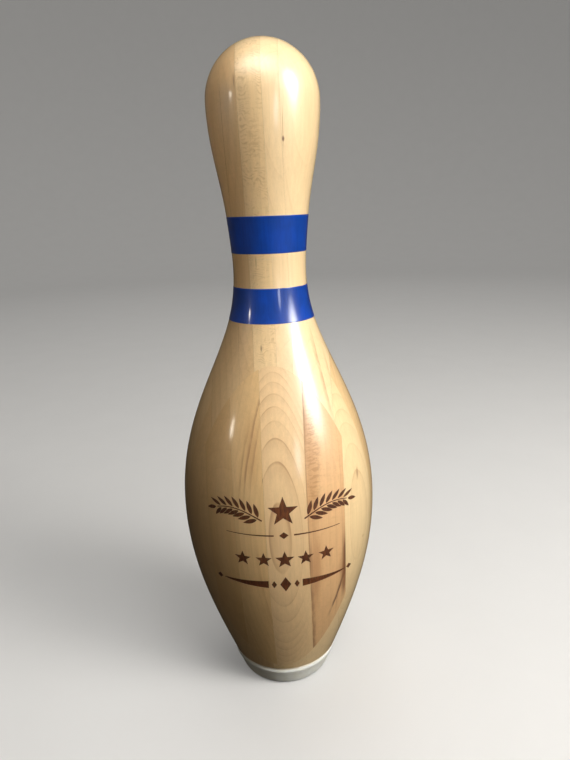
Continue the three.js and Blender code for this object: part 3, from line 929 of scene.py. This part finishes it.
# ---------------------------------------------------------------- paint, nylon
def paint_material():
    mat, g, raw = start_material("stripe_paint")
    grain = g.noise(g.vec("MULTIPLY", raw, (1 / 1.1, 1 / 1.1, 1 / 30.0)), detail=3.0, rough=0.55)
    brush = g.noise(g.vec("MULTIPLY", raw, (1 / 14.0, 1 / 14.0, 1 / 0.8)), detail=2.0)
    cloud = g.noise(g.vec("SCALE", raw, scale=1 / 11.0), detail=2.0)
    col = g.mix(g.step(cloud, 0.3, 0.7), srgb(12, 61, 146), srgb(14, 68, 168))
    col = g.mix(g.math("MULTIPLY", g.step(grain, 0.35, 0.7), 0.35), col, srgb(9, 44, 120))
    height = g.math("ADD", grain, g.math("MULTIPLY", brush, 0.5))
    lacquer(g, col, 0.32, height, raw, coat_rough=0.05, depth=1.2e-5)
    return mat


def nylon_material():
    mat, g, raw = start_material("nylon")
    cloud = g.noise(g.vec("SCALE", raw, scale=1 / 7.0), detail=3.0, rough=0.6)
    scuff = g.noise(g.vec("MULTIPLY", raw, (1 / 6.0, 1 / 6.0, 1 / 0.35)), detail=3.0, rough=0.65)
    sep = g.new("ShaderNodeSeparateXYZ")
    g.put(sep.inputs[0], raw)
    low = g.step(sep.outputs[2], 0.0, 5.0, 1.0, 0.0)
    col = g.mix(g.step(cloud, 0.3, 0.7), srgb(233, 233, 222), srgb(245, 245, 236))
    col = g.mix(g.math("MULTIPLY", g.step(scuff, 0.55, 0.75), g.math("ADD", 0.10, g.math("MULTIPLY", low, 0.30))),
                col, srgb(150, 148, 138))
    # lacquer run down over the top edge
    top = g.step(sep.outputs[2], RING_HEIGHT - 2.6, RING_HEIGHT - 0.5)
    col = g.mix(g.math("MULTIPLY", top, 0.85), col, srgb(186, 162, 118))
    bsdf = g.new("ShaderNodeBsdfPrincipled")
    out = g.new("ShaderNodeOutputMaterial")
    g.put(bsdf.inputs["Base Color"], col)
    g.put(bsdf.inputs["Roughness"], g.math("ADD", 0.44, g.math("MULTIPLY", g.step(scuff, 0.45, 0.75), 0.20)))
    g.put(bsdf.inputs["IOR"], 1.53)
    bsdf.subsurface_method = "RANDOM_WALK"
    g.put(bsdf.inputs["Subsurface Weight"], 0.45)
    g.put(bsdf.inputs["Subsurface Radius"], (1.0, 0.95, 0.8))
    g.put(bsdf.inputs["Subsurface Scale"], 0.0035)
    h = g.math("ADD", g.math("MULTIPLY", cloud, 0.5), scuff)
    g.put(bsdf.inputs["Normal"], g.bump(h, 1.5e-5))
    g.tree.links.new(bsdf.outputs[0], out.inputs[0])
    return mat


paint = paint_material()
ring.data.materials.append(nylon_material())
for ob in stripes.values():
    ob.data.materials.append(paint)

# ---------------------------------------------------------------- hand to frame
for name, ob in {**wood, "base_ring": ring, **stripes}.items():
    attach(ob, "root")
    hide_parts(name)


# ---------------------------------------------------------------- floor and light
def floor():
    """Seamless pale studio floor that curves up all round, far outside the view."""
    prof = [(0.0, 0.0), (0.4, 0.0), (0.9, 0.0), (1.6, 0.0), (2.4, 0.0)]
    for i in range(1, 15):
        a = math.pi / 2 * i / 14
        prof.append((2.4 + 1.4 * math.sin(a), 1.4 - 1.4 * math.cos(a)))
    prof += [(3.8, 2.4), (3.8, 4.0)]
    ob = lathe("floor", prof, seg=96)
    ob.data.shade_smooth()
    mat, g, raw = start_material("floor_paper")
    nse = g.noise(g.vec("SCALE", raw, scale=1 / 60.0), detail=3.0)
    bsdf = g.new("ShaderNodeBsdfPrincipled")
    out = g.new("ShaderNodeOutputMaterial")
    g.put(bsdf.inputs["Base Color"], g.mix(nse, (0.50, 0.496, 0.485), (0.53, 0.526, 0.515)))
    g.put(bsdf.inputs["Roughness"], 0.75)
    g.tree.links.new(bsdf.outputs[0], out.inputs[0])
    g.put(bsdf.inputs["Emission Color"], (1.0, 0.99, 0.97))
    bsdf.inputs["Emission Strength"].default_value = 0.16
    ob.data.materials.append(mat)
    # the pin stands against a dark surround: the paper isn't mirrored in its lacquer
    ob.visible_diffuse = False
    ob.visible_glossy = False
    return ob


floor()


PIN = bpy.data.collections.new("pin")
for ob in [*wood.values(), ring, *stripes.values()]:
    PIN.objects.link(ob)


def area(name, azimuth, elevation, distance, sx, sy, power, color=(1, 1, 1), target=(0, 0, 0.2), mirrored=True, core=0.15, only_pin=False,
         lit=True, spread=180.0):
    """Soft light, brightest in the middle. Azimuth 0 is in front of the pin, positive
    to its right."""
    d = bpy.data.lights.new(name, "AREA")
    d.shape = "RECTANGLE"
    d.size, d.size_y = sx, sy
    d.energy = power
    d.color = color
    d.spread = math.radians(spread)
    d.use_nodes = True
    g = Nodes(d.node_tree)
    emit = next(n for n in d.node_tree.nodes if n.type == "EMISSION")
    uv = g.new("ShaderNodeNewGeometry").outputs["Parametric"]
    off = g.vec("MULTIPLY", g.vec("SUBTRACT", uv, (0.5, 0.5, 0.0)), (2.0, 2.0, 0.0))
    g.put(emit.inputs["Strength"], g.step(g.vec("LENGTH", off), core, 1.0, 2.6 - core, 0.0))
    ob = bpy.data.objects.new(name, d)
    bpy.context.scene.collection.objects.link(ob)
    a, e = math.radians(azimuth), math.radians(elevation)
    direction = Vector((math.sin(a) * math.cos(e), -math.cos(a) * math.cos(e), math.sin(e)))
    ob.location = Vector(target) + direction * distance
    ob.rotation_euler = direction.to_track_quat("Z", "Y").to_euler()
    ob.visible_glossy = mirrored
    ob.visible_diffuse = lit
    if only_pin:
        ob.light_linking.receiver_collection = PIN
    return ob


area("key", 61, 28.5, 1.2, 0.80, 1.15, 22.5, (1.0, 0.97, 0.93), (0, 0, 0.215), core=0.15)
area("front_high", -14, 62, 0.55, 0.95, 0.60, 3.6, (1.0, 0.985, 0.96), (0, 0, 0.34), lit=False, core=0.05)
area("front_top", 26, 52, 0.62, 0.5, 0.5, 2.6, (1.0, 0.985, 0.97), (0, 0, 0.31), mirrored=False)
area("front_side", 46, 26, 0.85, 0.8, 0.8, 3.6, (1.0, 0.98, 0.95), (0, 0, 0.28), mirrored=False)
area("doorway", 25, 9, 1.5, 0.30, 0.60, 1.6, (0.95, 0.97, 1.0), (0, 0, 0.16), core=0.2)
area("lamp", -64, 13, 3.0, 0.36, 0.46, 4.8, (1.0, 0.92, 0.80), (0, 0, 0.26), lit=False)
area("left_high", -72, 14, 0.35, 0.12, 0.12, 0.030, (1.0, 0.90, 0.76), (0, 0, 0.318), mirrored=False, only_pin=True, spread=50)
area("left_low", -50, 8, 0.50, 0.4, 0.15, 0.10, (1.0, 0.88, 0.72), (0, 0, 0.03), mirrored=False, only_pin=True)
area("rear", 180, 40, 1.2, 1.2, 1.0, 10.0, (1.0, 0.93, 0.82), (0, 0, 0.24), mirrored=False, only_pin=True)
area("floor_light", 180, 80, 3.0, 3.0, 3.0, 38, (1.0, 0.99, 0.97), (0, 0.3, 0), mirrored=False)

world = bpy.data.worlds.new("studio")
bpy.context.scene.world = world
world.use_nodes = True
bg = world.node_tree.nodes["Background"]
gw = Nodes(world.node_tree)
up = gw.new("ShaderNodeSeparateXYZ")
gw.put(up.inputs[0], gw.new("ShaderNodeTexCoord").outputs["Generated"])
gw.put(bg.inputs[0], gw.mix(gw.step(up.outputs[2], -0.25, 0.35), (0.024, 0.019, 0.013), (0.068, 0.063, 0.056)))
bg.inputs[1].default_value = 1.0

# ---------------------------------------------------------------- camera
pitch, yaw, roll = (math.radians(v) for v in (16.45, 1.07, -2.41))
F = Vector((0, math.cos(pitch), -math.sin(pitch)))
R = Vector((1, 0, 0))
U = R.cross(F)
F2 = F * math.cos(yaw) + R * math.sin(yaw)
R2 = R * math.cos(yaw) - F * math.sin(yaw)
R3 = R2 * math.cos(roll) + U * math.sin(roll)
U3 = U * math.cos(roll) - R2 * math.sin(roll)
cam = bpy.data.cameras.new("camera")
cam.sensor_fit = "VERTICAL"
cam.sensor_height = 36.0
cam.sensor_width = 36.0 * 570 / 760
cam.lens = 571.0 / 760 * 36.0
cam.clip_start = 0.01
cam_ob = bpy.data.objects.new("camera", cam)
bpy.context.scene.collection.objects.link(cam_ob)
m = Matrix((R3, U3, -F2)).transposed().to_4x4()
m.translation = Vector((0, -0.33085, 0.29531))
cam_ob.matrix_world = m
bpy.context.scene.camera = cam_ob

bpy.context.scene.view_settings.view_transform = "Standard"
bpy.context.view_layer.update()
